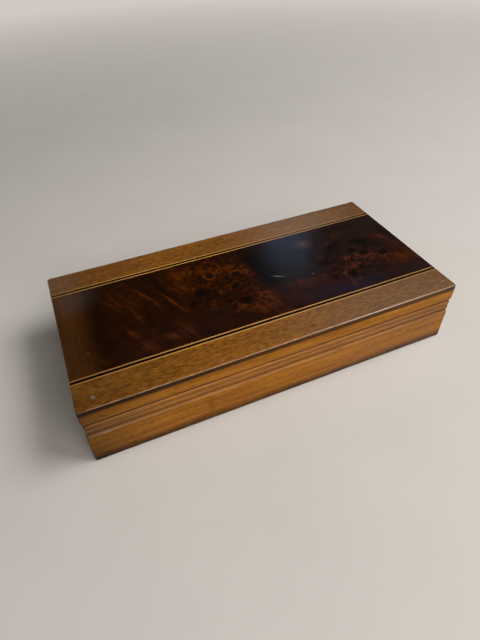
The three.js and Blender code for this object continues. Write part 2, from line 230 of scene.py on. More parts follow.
# Half sizes of an eye with its ring, as multiples of its radius, and its turn in degrees
EYE_LENGTH, EYE_WIDTH, EYE_TURN = 2.1, 1.6, 35

# Drifts that pull the burr's figure and its knots out of true: size and reach of each
FIGURE_DRIFTS = ((22 * MM, 6 * MM), (5 * MM, 2.4 * MM))
KNOT_DRIFTS = ((8 * MM, 6 * MM), (3 * MM, 2.4 * MM))
# Distance between knots, and how far the rings turn from one knot to the next and with the flecks
KNOT_SPACING = 7.5 * MM
RING_TURN = 18
FLECK_TURN = 10
# Streaks of the burr: their lean to the right as they come forward, and their length and width
STREAK_LEAN = math.radians(-68)
STREAK_SIZE = (34 * MM, 2.6 * MM)

# Tones of the burr at each level of light, where it is amber and where it is red
AMBER_TONES = ((0.0, "black"), (0.2, "brown"), (0.4, "russet"), (0.6, "amber"), (1.0, "gold"))
RED_TONES = ((0.0, "black"), (0.2, "umber"), (0.42, "red"), (0.8, "rose"))

# Marks on the lid, in millimetres from its middle: place, half sizes, turn and share of the stain. The wide
# oval at the back left corner is a painted reflection, a grey haze of sheen; the others are scuffs and
# specks
BURR_SCUFFS_AND_SHEEN = (
    (19.1, -2.8, 5.6, 0.6, -28, 0.7),
    (39.7, -9.5, 1.2, 1.1, 0, 0.3),
    (-28.4, -13.8, 1.4, 1.1, 0, 0.08),
    (-98, -18.6, 1.5, 1.3, 0, 0.1),
    (-99, 30, 20, 24, -30, 0.09),
    (49, 21, 9, 7.5, 0, 0.06),
)
# Painted reflection: a blue sheen over the front of the burr's right half
BURR_PAINTED_REFLECTION = ((54, -29, 44, 11, 0, 0.2), (100, -30, 12, 5, 10, 0.1))
# Painted reflection: a thin grey sheen over the right and over the far left back corner
FRONT_PAINTED_SHEEN = (62, -47, 95, 60, 0, 0.11)
BACK_PAINTED_SHEENS = ((56, 46, 64, 50, 0, 0.21), (-106, 46, 22, 20, 0, 0.13))
# Scuffs on the bands, with the painted sheens above
BAND_SCUFFS_AND_SHEENS = (
    (-100.9, -47.9, 1.7, 1.6, 0, 0.6),
    (-37.3, -52.0, 1.6, 2.2, 0, 0.25),
    (105, -48, 4.4, 1.8, 10, 0.3),
    FRONT_PAINTED_SHEEN,
    *BACK_PAINTED_SHEENS,
)

# Marks on the front, in millimetres from its middle and above the table: worn, pale polish by the beads at
# the left, and a faint painted sheen over the right part
FRONT_WEAR_AND_SHEEN = ((-99, 20.6, 5, 0.9, 0, 0.3), (70, 12, 80, 60, 0, 0.06))
# An old run of varnish, with the warmer patch beside it
FRONT_RUN = (
    (-47.0, 18.4, 7, 2.2, 0, 0.55),
    (-45.8, 12.5, 2.6, 9.5, 6, 0.9),
    (-44.5, 5, 2.0, 8, 8, 0.9),
    (-28, 11, 26, 15, 0, 0.3),
)
# Small dents and nicks with grime in them
FRONT_DENTS = (
    (-88.8, 5, 1.7, 1.1, 0, 0.8),
    (-91, 5.6, 0.9, 0.7, 0, 0.5),
    (-43.4, 2.4, 0.8, 3, 10, 0.7),
    (-110.2, 10, 0.8, 1.1, 0, 0.6),
    (-78.4, 16.4, 0.9, 0.6, 0, 0.4),
    (33, 20.6, 3.6, 0.7, -12, 0.45),
    (-62, 10.5, 0.8, 0.5, 0, 0.35),
    (71, 7, 1.0, 0.6, 0, 0.3),
)

# Soft lamps: where each stands as a bearing from the back towards the right and a height angle,
# its distance and size in metres, its power in watts and its colour
LAMPS = (
    ("window_light", 110, 52, 1.4, 0.8, 0.6, 15.0, "#FFFAF2"),
    ("pane_light", 32.5, 33, 1.5, 0.18, 0.2, 0.08, "#B4D0F0"),
    ("sky_light", 31.5, 31, 1.5, 0.16, 0.08, 0.022, "#70A8FF"),
    ("wall_light", 72, 46, 1.5, 0.5, 0.4, 0.2, "#D8DEF4"),
    ("room_light", 174, 39, 1.5, 1.0, 0.7, 11.0, "#FFF6EC"),
)
# Half the floor's side, and the distances at which it starts to fade and has faded, in metres
FLOOR_REACH = 4
FADE_STARTS = 0.4
FADE_ENDS = 1.2
ROOM_STRENGTH = 0.95
# Long side of the camera's sensor in millimetres, and the nearest thing that it shows
SENSOR = 36
NEAREST_SEEN = 10 * MM


def linear(hex_colour):
    """A written sRGB colour as the linear numbers that the shader uses."""
    channels = [int(hex_colour[i:i + 2], 16) / 255 for i in (1, 3, 5)]
    return [c / 12.92 if c <= 0.04045 else ((c + 0.055) / 1.055) ** 2.4 for c in channels]


def colour(name, hex_colour, description):
    """A colour that a user can change."""
    return FloatVectorProperty(
        name=name, description=description, default=linear(hex_colour),
        subtype="COLOR", size=3, min=0, max=1,
    )


def length(name, millimetres, description):
    """A length that a user can change, kept in metres."""
    return FloatProperty(
        name=name, description=description, default=millimetres * MM,
        subtype="DISTANCE", unit="LENGTH", min=0,
    )


class WOODBOX_PG_sizes(bpy.types.PropertyGroup):
    """Sizes of the softened edges and of the figure in the wood"""

    edge_wear: length("Edge wear", 0.12, "Width of the rounding that handling leaves on a sharp wood edge")
    joint_wear: length("Joint wear", 0.01, "Width of the rounding where two glued pieces meet")
    metal_wear: length("Metal wear", 0.1, "Width of the rounding on the edges of the hinges")
    wear_steps: IntProperty(
        name="Wear steps", description="Flats in each rounded edge", min=1, max=6, default=2
    )
    smooth_angle: FloatProperty(
        name="Smooth angle", description="Edges flatter than this are shaded as one surface",
        subtype="ANGLE", unit="ROTATION", min=0, max=math.pi, default=math.radians(30),
    )
    pore_length: length("Pore length", 4, "Length of a mahogany pore along the grain")
    pore_width: length(
        "Pore width", 0.65, "Width of a mahogany pore, drawn coarser than the real 0.2 mm so that it shows"
    )
    ribbon_width: length("Ribbon width", 5, "Width of the light and dark ribbons of the mahogany")
    ribbon_length: length("Ribbon length", 70, "Length of the light and dark ribbons of the mahogany")


class WOODBOX_PG_colours(bpy.types.PropertyGroup):
    """Colours of the finishes and of the room"""

    honey_light: colour("Honey light", "#B27928", "Light ribbons of the mahogany sides")
    honey_middle: colour("Honey middle", "#9D641B", "Body colour of the mahogany sides")
    honey_dark: colour("Honey dark", "#834E15", "Dark ribbons of the mahogany sides")
    pore: colour("Pore", "#553010", "Filled pores of the mahogany")
    # Painted shade, with old polish and dust, in the hollows of the moulding and at the foot
    shade_and_grime: colour("Grime", "#361A02", "Old polish and dust in the hollows of the moulding")
    band_light: colour("Band light", "#9C661E", "Light ribbons of the veneer bands")
    band_middle: colour("Band middle", "#84520C", "Body colour of the veneer bands")
    band_dark: colour("Band dark", "#603804", "Dark ribbons of the veneer bands")
    edge_dark: colour("Edge dark", "#40280C", "Stained edge of the lid board")
    edge_light: colour("Edge light", "#543612", "Stained edge where the stain is rubbed thin")
    burr_black: colour("Burr black", "#0B0400", "Darkest wood between the burrs")
    burr_brown: colour("Burr brown", "#1B0A00", "Dark brown ground of the burr")
    burr_russet: colour("Burr russet", "#280F00", "Russet wood of the burr")
    burr_amber: colour("Burr amber", "#441C00", "Amber swirls of the burr")
    burr_gold: colour("Burr gold", "#5E3204", "Lightest streaks of the burr")
    burr_plain: colour("Burr plain", "#4A2C12", "Plain wood at the burr's left end")
    burr_umber: colour("Burr umber", "#1A0D0B", "Dark ground at the burr's right end")
    burr_red: colour("Burr red", "#29130D", "Redder swirls at the burr's right end")
    burr_rose: colour("Burr rose", "#4A2819", "Lightest streaks at the burr's right end")
    old_run: colour("Old run", "#784A00", "Run of old varnish down the front")
    dent: colour("Dent", "#2A1608", "Grime in small dents of the front")
    # Painted reflection: blue sheen over the front of the burr
    painted_reflection: colour("Bloom", "#22304E", "Blue bloom in the polish of the burr")
    # Pale scuffs, and also the grey of painted sheens on the bands, lines, front and burr
    scuff_and_sheen: colour("Scuff", "#8A8A88", "Small pale scuffs in the polish")
    line_pale: colour("Pale line", "#CE9646", "Boxwood lines of the stringing")
    line_black: colour("Black line", "#070605", "Dyed lines of the stringing")
    cedar_light: colour("Cedar light", "#B5764C", "Light bands of the cedar lining")
    cedar_dark: colour("Cedar dark", "#8A4F30", "Dark bands of the cedar lining")
    base_light: colour("Base light", "#96683A", "Light bands of the base panel")
    base_dark: colour("Base dark", "#6E4726", "Dark bands of the base panel")
    brass_bright: colour("Brass bright", "#C9A560", "Rubbed brass")
    brass_dull: colour("Brass dull", "#7D6236", "Tarnished brass")
    floor: colour("Floor", "#D0CFCE", "Pale floor under the box")
    backdrop: colour("Backdrop", "#CFC9C1", "Pale backdrop that the far floor fades into")
    room_low: colour("Room low", "#E6E2DC", "Light of the room at the height of the table")
    room_middle: colour("Room middle", "#CFCAC4", "Light of the room a little higher")
    room_high: colour("Room high", "#241C14", "Light of the room overhead")


class WOODBOX_PG_stage(bpy.types.PropertyGroup):
    """Place, aim and lens of the camera"""

    camera_place: FloatVectorProperty(
        name="Camera place", description="Where the camera stands",
        subtype="TRANSLATION", unit="LENGTH", size=3, default=(-0.08751, -0.1991, 0.21453),
    )
    camera_target: FloatVectorProperty(
        name="Camera target", description="Point on the floor in the middle of the picture",
        subtype="TRANSLATION", unit="LENGTH", size=3, default=(-0.00064, 0.01178, 0.0),
    )
    camera_roll: FloatProperty(
        name="Camera roll", description="Turn of the camera about its own line of sight",
        subtype="ANGLE", unit="ROTATION", default=math.radians(-1.668),
    )
    camera_lens: FloatProperty(
        name="Camera lens", description="Focal length for a sensor whose long side is 36 mm",
        subtype="DISTANCE_CAMERA", min=1, default=26.09,
    )


def palette():
    """The colours of the open scene."""
    return bpy.context.scene.woodbox_colours


# Nodes

def add(tree, kind, links=None, ramp=None, **settings):
    """Adds one node, sets its settings, and sets or links its inputs.

    Math and Mix nodes have sockets with the same names, so these go by number. A Mix node has
    its factor at 0, its numbers at 2 and 3 and its colours at 6 and 7, and gives its result at
    output 0 for numbers and 2 for colours.
    """
    made = tree.nodes.new("ShaderNode" + kind)
    for key, value in settings.items():
        setattr(made, key, value)
    if ramp:
        points = made.color_ramp.elements
        while len(points) < len(ramp):
            points.new(1)
        for point, (place, value) in zip(points, ramp):
            point.position = place
            point.color = value if hasattr(value, "__len__") else (value, value, value, 1)
    for key, value in (links or {}).items():
        socket = made.inputs[key]
        if isinstance(value, bpy.types.NodeSocket):
            tree.links.new(value, socket)
        else:
            socket.default_value = value
    return made


def rgba(value):
    """A colour that covers fully."""
    return (*value, 1)


def dimmed(value, share):
    """A colour with a share of its light."""
    return [channel * share for channel in value]


def new_material(name):
    """A material with an empty shader, and the spot that its pattern reads."""
    made = bpy.data.materials.new(name)
    made.use_nodes = True
    tree = made.node_tree
    tree.nodes.clear()
    shader = add(tree, "BsdfPrincipled")
    add(tree, "OutputMaterial", {"Surface": shader.outputs["BSDF"]})
    spot = add(tree, "TexCoord").outputs["Object"]
    return made, tree, shader, spot


def dress(tree, shader, tone, gloss, relief):
    """Joins a pattern's colour, gloss and relief to the shader."""
    tree.links.new(tone, shader.inputs["Base Color"])
    tree.links.new(gloss.outputs["Result"], shader.inputs["Roughness"])
    tree.links.new(relief.outputs["Normal"], shader.inputs["Normal"])


def polish(shader, finish):
    """Film of French polish over the wood, or none where the finish has no film."""
    shader.inputs["Specular IOR Level"].default_value = finish.sheen
    shader.inputs["Coat Weight"].default_value = finish.film
    shader.inputs["Coat Roughness"].default_value = finish.film_rough


# Patterns

def marks_along(tree, spot, grain, size, offset=(0, 0, 0), detail=2, rough=0.5, drift=0):
    """Marks drawn out along the grain, of one length along it and one width across it."""
    scale = [1 / size[0] if axis == grain else 1 / size[1] for axis in "XYZ"]
    drawn = add(tree, "Mapping", {"Vector": spot, "Scale": scale, "Location": offset}).outputs["Vector"]
    marks = {"Vector": drawn, "Scale": 1, "Detail": detail, "Roughness": rough, "Distortion": drift}
    return add(tree, "TexNoise", marks).outputs["Fac"]


def wood_pattern(tree, spot, grain, offset, tones, streak, pore_share, streak_share):
    """Straight-grained wood with light and dark ribbons: its colour, its pores and its streaks."""
    colours, sizes = palette(), bpy.context.scene.woodbox_sizes
    ribbon = (sizes.ribbon_length, sizes.ribbon_width)
    pore = (sizes.pore_length, sizes.pore_width)
    ribbons = marks_along(tree, spot, grain, ribbon, offset, detail=3, rough=0.55, drift=0.4)
    streaks = marks_along(tree, spot, grain, streak, offset, detail=3, rough=0.6, drift=0.15)
    pores = marks_along(tree, spot, grain, pore, offset, detail=1)
    mixed = add(tree, "Mix", {0: streak_share, 2: ribbons, 3: streaks})
    ramp = [(level, rgba(tone)) for level, tone in zip((0.36, 0.5, 0.64), tones)]
    body = add(tree, "ValToRGB", {"Fac": mixed.outputs[0]}, ramp)
    filled = add(
        tree,
        "MapRange",
        {"Value": pores, "From Min": 0.56, "From Max": 0.7, "To Max": pore_share},
        interpolation_type="SMOOTHSTEP",
    ).outputs["Result"]
    toned = add(tree, "Mix", {0: filled, 6: body.outputs["Color"], 7: rgba(colours.pore)}, data_type="RGBA")
    return toned.outputs[2], filled, streaks


def finish_wood(tree, shader, spot, tone, pores, streaks, finish, depth):
    """Gloss from the streaks, and relief from the pores and from slow waves in the polish."""
    low, high = finish.rough - 0.05, finish.rough + 0.07
    gloss = add(
        tree,
        "MapRange",
        {"Value": streaks, "From Min": 0.3, "From Max": 0.7, "To Min": low, "To Max": high},
    )
    waves = add(tree, "TexNoise", {"Vector": spot, "Scale": 1 / (6 * MM), "Detail": 2})
    wavy = add(tree, "Bump", {"Height": waves.outputs["Fac"], "Distance": 0.12 * MM, "Strength": 0.6})
    sunk = add(
        tree,
        "Bump",
        {"Height": pores, "Distance": depth, "Strength": 0.6, "Normal": wavy.outputs["Normal"]},
        invert=True,
    )
    dress(tree, shader, tone, gloss, sunk)
    polish(shader, finish)


def end_grain(tree, tone, grain):
    """Darker, redder wood where a face cuts across the grain."""
    parts = add(tree, "SeparateXYZ", {"Vector": add(tree, "TexCoord").outputs["Normal"]})
    facing = add(tree, "Math", {0: parts.outputs[grain]}, operation="ABSOLUTE")
    mask = add(
        tree,
        "MapRange",
        {"Value": facing.outputs[0], "From Min": 0.6, "From Max": 0.9, "To Max": END_GRAIN_SHARE},
    )
    darker = add(
        tree,
        "Mix",
        {0: mask.outputs["Result"], 6: tone, 7: rgba(END_GRAIN_LIGHT_SHARES)},
        data_type="RGBA",
        blend_type="MULTIPLY",
    )
    return darker.outputs[2]


def shade_and_grime_in_hollows(tree, spot, tone, shares, shade_and_grime):
    """Painted shade in the hollows of the moulding, at the joint and at the foot, with old polish gathered
    there: darker, a little unevenly, at some heights, but not on level rims.
    """
    low, high = (JOINT + shares[end][0] * MM for end in (0, -1))
    parts = add(tree, "SeparateXYZ", {"Vector": spot})
    up = add(tree, "MapRange", {"Value": parts.outputs["Z"], "From Min": low, "From Max": high})
    placed_shares = [((JOINT + height * MM - low) / (high - low), share) for height, share in shares]
    darkened_heights = add(tree, "ValToRGB", {"Fac": up.outputs["Result"]}, placed_shares)
    patches = add(tree, "TexNoise", {"Vector": spot, "Scale": 1 / (14 * MM), "Detail": 3, "Roughness": 0.6})
    patchy = add(
        tree,
        "MapRange",
        {"Value": patches.outputs["Fac"], "From Min": 0.3, "From Max": 0.7, "To Min": 0.78},
    )
    facing = add(tree, "SeparateXYZ", {"Vector": add(tree, "TexCoord").outputs["Normal"]})
    level = add(tree, "Math", {0: facing.outputs["Z"]}, operation="ABSOLUTE")
    off_rims = add(
        tree,
        "MapRange",
        {"Value": level.outputs[0], "From Min": 0.9, "From Max": 0.97, "To Min": 1, "To Max": 0},
    )
    mask = darkened_heights.outputs["Color"]
    for other in (patchy, off_rims):
        links = {0: mask, 1: other.outputs["Result"]}
        mask = add(tree, "Math", links, operation="MULTIPLY").outputs[0]
    shaded_and_dirty = add(tree, "Mix", {0: mask, 6: tone, 7: rgba(shade_and_grime)}, data_type="RGBA")
    return shaded_and_dirty.outputs[2]


def shaded_along(tree, spot, tone, shares):
    """Painted shade along the box: the wood darkens towards its ends, most at the left end."""
    parts = add(tree, "SeparateXYZ", {"Vector": spot})
    reach = add(tree, "MapRange", {"Value": parts.outputs["X"], "From Min": LEFT, "From Max": RIGHT})
    shade = add(tree, "ValToRGB", {"Fac": reach.outputs["Result"]}, ramp=shares)
    darker = add(
        tree, "Mix", {0: 1.0, 6: tone, 7: shade.outputs["Color"]}, data_type="RGBA", blend_type="MULTIPLY"
    )
    return darker.outputs[2]


def dyed_beside(tree, spot, tone, dye):
    """Pale wood into which the dye of the black line beside it has bled."""
    low, high = (corner[1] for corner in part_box("back_string_black_line"))
    middle, half = (low + high) / 2, (high - low) / 2
    parts = add(tree, "SeparateXYZ", {"Vector": spot})
    across = add(tree, "Math", {0: parts.outputs["Y"]}, operation="ABSOLUTE")
    past = add(tree, "Math", {0: across.outputs[0], 1: middle}, operation="SUBTRACT")
    away = add(tree, "Math", {0: past.outputs[0]}, operation="ABSOLUTE").outputs[0]
    full, end = half + DYE_FULL, half + DYE_REACH
    bled = add(
        tree,
        "MapRange",
        {"Value": away, "From Min": full, "From Max": end, "To Min": DYE_SHARE, "To Max": 0},
    )
    dyed = add(tree, "Mix", {0: bled.outputs["Result"], 6: tone, 7: rgba(dye)}, data_type="RGBA")
    return dyed.outputs[2]


def blot(tree, spot, x, y, half_x, half_y, turn, upright=False):
    """How deep in an oval of the lid, or of the front, a point lies: 1 in its middle and 0 outside."""
    place = (x * MM, y * MM, LID_TOP)
    turns = (0, 0, math.radians(turn))
    scale = (half_x * MM, half_y * MM, 1)
    if upright:
        place = (x * MM, FRONT, y * MM)
        turns = (0, -math.radians(turn), 0)
        scale = (half_x * MM, 1, half_y * MM)
    centred = add(
        tree,
        "Mapping",
        {"Vector": spot, "Location": place, "Rotation": turns, "Scale": scale},
        vector_type="TEXTURE",
    )
    oval = add(tree, "TexGradient", {"Vector": centred.outputs["Vector"]}, gradient_type="SPHERICAL")
    return oval.outputs["Fac"]


def scuffed_or_sheened(tree, spot, tone, marks, stain, upright=False):
    """Small scuffs, dents, runs or painted sheens of one colour over a tone."""
    deepest = 0.0
    for *oval, share in marks:
        mark = add(
            tree,
            "MapRange",
            {"Value": blot(tree, spot, *oval, upright), "To Max": share},
            interpolation_type="SMOOTHSTEP",
        )
        links = {0: mark.outputs["Result"], 1: deepest}
        deepest = add(tree, "Math", links, operation="MAXIMUM").outputs[0]
    marked = add(tree, "Mix", {0: deepest, 6: tone, 7: rgba(stain)}, data_type="RGBA")
    return marked.outputs[2]


def raised(tree, spot, value, ovals, **settings):
    """A value that named ovals of the lid raise or lower, each most in its middle."""
    for title, *oval, change in ovals:
        links = {0: blot(tree, spot, *oval), 1: change, 2: value}
        step = add(tree, "Math", links, label=title, operation="MULTIPLY_ADD", **settings)
        value = step.outputs[0]
    return value


def drifted(tree, spot, drifts):
    """A spot on the lid pulled out of true by drifts of a given size and reach."""
    moved = spot
    for size, reach in drifts:
        drift = add(tree, "TexNoise", {"Vector": spot, "Scale": 1 / size, "Detail": 2})
        pulled = add(
            tree,
            "VectorMath",
            {0: drift.outputs["Color"], 1: (reach, reach, 0), 2: moved},
            operation="MULTIPLY_ADD",
        )
        moved = add(
            tree, "VectorMath", {0: pulled.outputs[0], 1: (reach / 2, reach / 2, 0)}, operation="SUBTRACT"
        ).outputs[0]
    return moved


# Mahogany and plain woods

def honey_mahogany(name, grain, shade_and_grime_shares, offset, finish, marked):
    """French-polished mahogany: warm and straight, with fine dark pores and a soft gloss."""
    colours = palette()
    made, tree, shader, spot = new_material(name)
    tones = (colours.honey_dark, colours.honey_middle, colours.honey_light)
    tone, pores, streaks = wood_pattern(
        tree, spot, grain, offset, tones, HONEY_STREAK, pore_share=0.5, streak_share=0.55
    )
    tone = end_grain(tree, tone, grain)
    # Painted shade in the hollows and at the foot, with old polish there
    tone = shade_and_grime_in_hollows(tree, spot, tone, shade_and_grime_shares, colours.shade_and_grime)
    # Painted shade along the box, darkest at the left end
    tone = shaded_along(tree, spot, tone, SIDE_LIGHT_SHARES)
    if marked:
        # Runs of varnish, worn polish with a painted sheen over the right part, and dents
        for marks, stain in (
            (FRONT_RUN, colours.old_run),
            (FRONT_WEAR_AND_SHEEN, colours.scuff_and_sheen),
            (FRONT_DENTS, colours.dent),
        ):
            tone = scuffed_or_sheened(tree, spot, tone, marks, stain, upright=True)
    finish_wood(tree, shader, spot, tone, pores, streaks, finish, depth=0.03 * MM)
    return made


def band_mahogany(name, offset, finish):
    """Polished mahogany veneer: shorter, darker pores under a level gloss."""
    colours = palette()
    made, tree, shader, spot = new_material(name)
    tones = (colours.band_dark, colours.band_middle, colours.band_light)
    tone, pores, streaks = wood_pattern(
        tree, spot, "X", offset, tones, BAND_STREAK, pore_share=0.8, streak_share=0.75
    )
    # Painted shade along the box, then scuffs and painted sheens
    tone = shaded_along(tree, spot, tone, BAND_LIGHT_SHARES)
    tone = scuffed_or_sheened(tree, spot, tone, BAND_SCUFFS_AND_SHEENS, colours.scuff_and_sheen)
    finish_wood(tree, shader, spot, tone, pores, streaks, finish, depth=0.02 * MM)
    return made


def plain_wood(name, grain, light, dark, size, finish, shares=None, dye=None, painted_sheens=None):
    """Straight-grained wood of two tones with fine fibres, for the makers below."""
    made, tree, shader, spot = new_material(name)
    bands = marks_along(tree, spot, grain, size, detail=4, rough=0.6, drift=0.3)
    fibres = marks_along(tree, spot, grain, FIBRE)
    ramp = [(0.35, rgba(dark)), (0.65, rgba(light))]
    tone = add(tree, "ValToRGB", {"Fac": bands}, ramp).outputs["Color"]
    # Painted shade along the box, where shares are given
    if shares:
        tone = shaded_along(tree, spot, tone, shares)
    if dye:
        tone = dyed_beside(tree, spot, tone, dye)
    # Painted sheens, where they are given
    if painted_sheens:
        tone = scuffed_or_sheened(tree, spot, tone, painted_sheens, palette().scuff_and_sheen)
    low, high = finish.rough - 0.06, finish.rough + 0.08
    gloss = add(
        tree, "MapRange", {"Value": fibres, "From Min": 0.3, "From Max": 0.7, "To Min": low, "To Max": high}
    )
    relief = add(tree, "Bump", {"Height": fibres, "Distance": 0.02 * MM, "Strength": 0.5})
    dress(tree, shader, tone, gloss, relief)
    polish(shader, finish)
    return made


def planed_base():
    """Base panel planed and left bare: straight, brown and dull."""
    colours = palette()
    return plain_wood("base_wood_planed", "X", colours.base_light, colours.base_dark, BASE_GRAIN, BARE_BASE)


def planed_cedar(node, grain):
    """Cedar planed and left bare: pinkish, dry and dull, with long soft bands."""
    colours = palette()
    light, dark = colours.cedar_light, colours.cedar_dark
    return plain_wood("cedar_planed_" + node, grain, light, dark, CEDAR_GRAIN, BARE_CEDAR)


def stained_edge():
    """Edge of the lid board, stained dark and barely polished, so that it shows as a dull dark band."""
    colours = palette()
    light, dark = colours.edge_light, colours.edge_dark
    # Painted shade along the box darkens the edge towards its left end
    return plain_wood("dark_stained_edge", "X", light, dark, EDGE_GRAIN, EDGE_POLISH, EDGE_LIGHT_SHARES)


def boxwood_line():
    """Polished boxwood line: pale and close-grained, darkened beside the dyed line."""
    colours = palette()
    light = colours.line_pale
    # Painted shade along the line, and painted sheens on the right and at the back left corner
    return plain_wood(
        "boxwood_line_polished", "X", light, dimmed(light, share=0.8), LINE_GRAIN, PALE_LINE_POLISH,
        shares=LINE_LIGHT_SHARES, dye=colours.line_black, painted_sheens=(FRONT_PAINTED_SHEEN, *BACK_PAINTED_SHEENS),
    )


def dyed_line():
    """Polished line of wood dyed through: black, with a faint grain and a low sheen."""
    light = palette().line_black
    # Painted sheens at the back
    return plain_wood(
        "dyed_black_line_polished", "X", light, dimmed(light, share=0.7), LINE_GRAIN,
        BLACK_LINE_POLISH, painted_sheens=BACK_PAINTED_SHEENS,
    )


# Burr walnut

def leaning_streaks(tree, warped):
    """Lighter and darker streaks, as a factor of the light."""
    leaning = add(
        tree,
        "Mapping",
        {"Vector": warped, "Rotation": (0, 0, STREAK_LEAN), "Scale": (*STREAK_SIZE, 1)},
        vector_type="TEXTURE",
    )
    streaks = add(
        tree, "TexNoise", {"Vector": leaning.outputs["Vector"], "Scale": 1, "Detail": 5, "Roughness": 0.62}
    ).outputs["Fac"]
    return add(
        tree,
        "MapRange",
        {"Value": streaks, "From Min": 0.32, "From Max": 0.68, "To Min": 0.72, "To Max": 1.28},
    ).outputs["Result"]


def curled_rings(tree, spot):
    """Rings round small knots, broken up by finer flecks, as a factor of the light."""
    flecks = add(
        tree,
        "TexNoise",
        {"Vector": spot, "Scale": 1 / (4 * MM), "Detail": 4, "Roughness": 0.62, "Distortion": 0.7},
    ).outputs["Fac"]
    knots = add(
        tree, "TexVoronoi", {"Vector": drifted(tree, spot, KNOT_DRIFTS), "Scale": 1 / KNOT_SPACING}
    ).outputs["Distance"]
    broken = add(tree, "Math", {0: flecks, 1: FLECK_TURN}, operation="MULTIPLY").outputs[0]
    turned = {0: knots, 1: RING_TURN, 2: broken}
    phase = add(tree, "Math", turned, operation="MULTIPLY_ADD").outputs[0]
    wave = add(tree, "Math", {0: phase}, operation="SINE").outputs[0]
    rings = add(
        tree, "MapRange", {"Value": wave, "From Min": -1, "From Max": 0.4, "To Min": 0.56, "To Max": 1.1}
    ).outputs["Result"]
    flecked = add(
        tree,
        "MapRange",
        {"Value": flecks, "From Min": 0.34, "From Max": 0.66, "To Min": 0.62, "To Max": 1.34},
    ).outputs["Result"]
    return add(tree, "Math", {0: rings, 1: flecked}, operation="MULTIPLY").outputs[0]


def burr_eyes(tree, warped):
    """Dark eyes, each in a lighter ring, as a factor of the light."""
    deepest = 0.0
    for x, y, radius in BURR_EYES:
        inside = blot(tree, warped, x, y, EYE_LENGTH * radius, EYE_WIDTH * radius, EYE_TURN)
        deepest = add(tree, "Math", {0: inside, 1: deepest}, operation="MAXIMUM").outputs[0]
    kept_shares = [(0.0, 0.8), (0.18, 0.9), (0.34, 1.0), (0.5, 0.62), (0.74, 0.16), (1.0, 0.1)]
    return add(tree, "ValToRGB", {"Fac": deepest}, kept_shares).outputs["Color"]


def burr_tone(tree, warped, light):
    """Colour of the burr at a level of light: amber on the left, redder on the right."""
    colours = palette()
    ramps = (
        [(level, rgba(getattr(colours, "burr_" + name))) for level, name in tones]
        for tones in (AMBER_TONES, RED_TONES)
    )
    amber, red = (add(tree, "ValToRGB", {"Fac": light}, ramp).outputs["Color"] for ramp in ramps)
    x = add(tree, "SeparateXYZ", {"Vector": warped}).outputs["X"]
    along = add(
        tree, "MapRange", {"Value": x, "From Min": RED_STARTS, "From Max": RED_FULL, "To Max": RED_SHARE}
    )
    redness = raised(tree, warped, along.outputs["Result"], BURR_REDNESS)
    tone = add(tree, "Mix", {0: redness, 6: amber, 7: red}, data_type="RGBA")
    return tone.outputs[2]


def plain_end(tree, spot, warped, tone, mottle):
    """Plain wood at the left end of the burr, with its grain from front to back."""
    plain = palette().burr_plain
    grain = marks_along(tree, spot, "Y", PLAIN_END_GRAIN, detail=3, rough=0.6)
    clouds = add(tree, "Math", {0: mottle, 1: 0.8, 2: -0.4}, operation="MULTIPLY_ADD")
    shaded = add(tree, "Math", {0: grain, 1: clouds.outputs[0]}, operation="ADD")
    ramp = [(0.25, rgba(dimmed(plain, share=0.62))), (0.7, rgba(plain))]
    wood = add(tree, "ValToRGB", {"Fac": shaded.outputs[0]}, ramp)
    x = add(tree, "SeparateXYZ", {"Vector": warped}).outputs["X"]
    at_end = add(
        tree,
        "MapRange",
        {"Value": x, "From Min": PLAIN_END_STARTS, "From Max": PLAIN_END_FULL, "To Max": PLAIN_END_SHARE},
        interpolation_type="SMOOTHSTEP",
    )
    mixed = add(
        tree, "Mix", {0: at_end.outputs["Result"], 6: tone, 7: wood.outputs["Color"]}, data_type="RGBA"
    )
    return mixed.outputs[2]


def burr_walnut():
    """Burr walnut veneer under a full French polish: deep, dark and glassy, with knotted amber figure."""
    colours = palette()
    made, tree, shader, spot = new_material("burr_walnut_french_polished")
    warped = drifted(tree, spot, FIGURE_DRIFTS)
    mottle = add(
        tree, "TexNoise", {"Vector": spot, "Scale": 1 / (9 * MM), "Detail": 4, "Roughness": 0.6}
    ).outputs["Fac"]
    mottled = add(
        tree,
        "MapRange",
        {"Value": mottle, "From Min": 0.34, "From Max": 0.66, "To Min": 0.7, "To Max": 1.3},
    ).outputs["Result"]
    curling = raised(tree, warped, 0.0, BURR_CURLS, use_clamp=True)
    figured = add(
        tree, "Mix", {0: curling, 2: leaning_streaks(tree, warped), 3: curled_rings(tree, spot)}
    ).outputs[0]

    light = raised(tree, warped, BURR_GROUND_SHARE, BURR_FIGURE)
    for factor in (figured, mottled, burr_eyes(tree, warped), BURR_GAIN):
        light = add(tree, "Math", {0: light, 1: factor}, operation="MULTIPLY").outputs[0]

    tone = burr_tone(tree, warped, light)
    tone = plain_end(tree, spot, warped, tone, mottle)
    # Painted reflections: a blue sheen at the front, and a grey haze at the back left corner among the
    # scuffs
    tone = scuffed_or_sheened(tree, spot, tone, BURR_PAINTED_REFLECTION, colours.painted_reflection)
    tone = scuffed_or_sheened(tree, spot, tone, BURR_SCUFFS_AND_SHEEN, colours.scuff_and_sheen)
    relief = add(tree, "Bump", {"Height": mottle, "Distance": 0.05 * MM, "Strength": 0.25})
    tree.links.new(tone, shader.inputs["Base Color"])
    tree.links.new(relief.outputs["Normal"], shader.inputs["Normal"])
    shader.inputs["Roughness"].default_value = BURR_POLISH.rough
    polish(shader, BURR_POLISH)
    return made


# Brass

